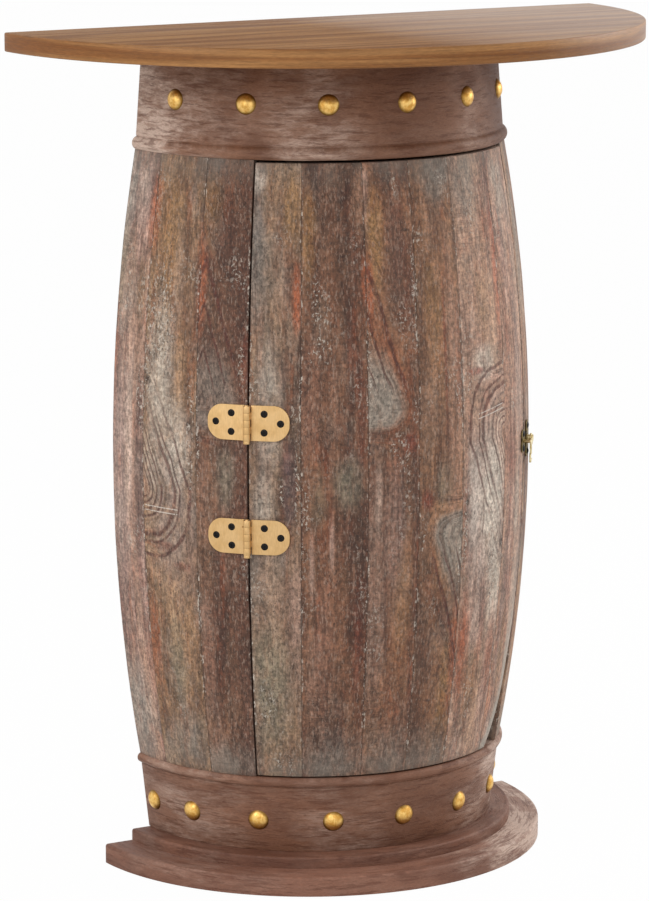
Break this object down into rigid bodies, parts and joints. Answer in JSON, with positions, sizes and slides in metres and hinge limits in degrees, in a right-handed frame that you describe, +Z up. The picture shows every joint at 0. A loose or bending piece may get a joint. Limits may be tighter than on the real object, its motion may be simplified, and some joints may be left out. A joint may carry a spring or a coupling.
{
  "type": "barrel bar cabinet",
  "caption": "Half-barrel bar cabinet with a half-round tabletop, nailed bands, a curved stave door on flap hinges, a hook latch and an inner shelf.",
  "frame": {"origin": "bottom centre of the bounding box: on the floor, half the tabletop's radius in front of the flat back", "axes": "+Z up; -Y is the front, with the door; +Y the flat back that stands against a wall; +X to the right seen from the front"},
  "size_m": [0.76, 0.3799, 0.95],
  "materials": {
    "tabletop_wood": "satin clear-coated golden-brown board, fine grain along X",
    "stave_wood": "weathered grey-brown reclaimed planks, matt, saw marks and worn pale edges",
    "band_wood": "reddish-brown stain with a thin pale wash, satin",
    "inner_wood": "plain brown-stained softwood, matt",
    "nail_brass": "antique brass, satin",
    "hinge_brass": "pale satin brass",
    "black_screw": "blackened steel",
    "steel_screw": "zinc-plated steel"
  },
  "bodies": {
    "carcass": {"plinth_base": "band_wood", "plinth_step": "band_wood", "plinth_screws": "steel_screw", "bottom_board": "inner_wood", "lower_band": "band_wood", "lower_nails": "nail_brass", "floor_board": "inner_wood", "lower_back_rail": "inner_wood", "back_panel": "inner_wood", "left_stave_1": "stave_wood", "left_stave_2": "stave_wood", "left_stave_3": "stave_wood", "right_stave_1": "stave_wood", "right_stave_2": "stave_wood", "right_stave_3": "stave_wood", "hinge_jamb": "inner_wood", "strike_jamb": "inner_wood", "shelf": "inner_wood", "left_shelf_cleat": "inner_wood", "right_shelf_cleat": "inner_wood", "back_shelf_cleat": "inner_wood", "header_board": "inner_wood", "upper_band": "band_wood", "upper_nails": "nail_brass", "top_board": "inner_wood", "upper_back_rail": "inner_wood", "tabletop": "tabletop_wood", "tabletop_screws": "steel_screw", "upper_hinge_frame_leaf": "hinge_brass", "lower_hinge_frame_leaf": "hinge_brass", "upper_hinge_pin": "hinge_brass", "lower_hinge_pin": "hinge_brass", "hinge_frame_screws": "black_screw", "latch_plate": "hinge_brass", "latch_screws": "black_screw", "latch_pivot": "hinge_brass"},
    "door": {"door_stave_1": "stave_wood", "door_stave_2": "stave_wood", "door_stave_3": "stave_wood", "door_stave_4": "stave_wood", "door_stave_5": "stave_wood", "door_stave_6": "stave_wood", "lower_door_ledge": "inner_wood", "upper_door_ledge": "inner_wood", "upper_hinge_door_leaf": "hinge_brass", "lower_hinge_door_leaf": "hinge_brass", "hinge_door_screws": "black_screw", "keeper_plate": "hinge_brass", "keeper_screws": "black_screw", "keeper_stud": "hinge_brass"},
    "hook": {"latch_hook": "hinge_brass"}
  },
  "joints": [
    {"name": "door_swing", "type": "hinge", "parent": "carcass", "child": "door", "pos_m": [-0.18194, 0.00806, 0.4665], "axis": [0, 0, -1], "range_deg": [0, 170]},
    {"name": "hook_swing", "type": "hinge", "parent": "carcass", "child": "hook", "pos_m": [0.18802, 0.02071, 0.477], "axis": [0.7431, -0.6691, 0], "range_deg": [0, 270]}
  ]
}
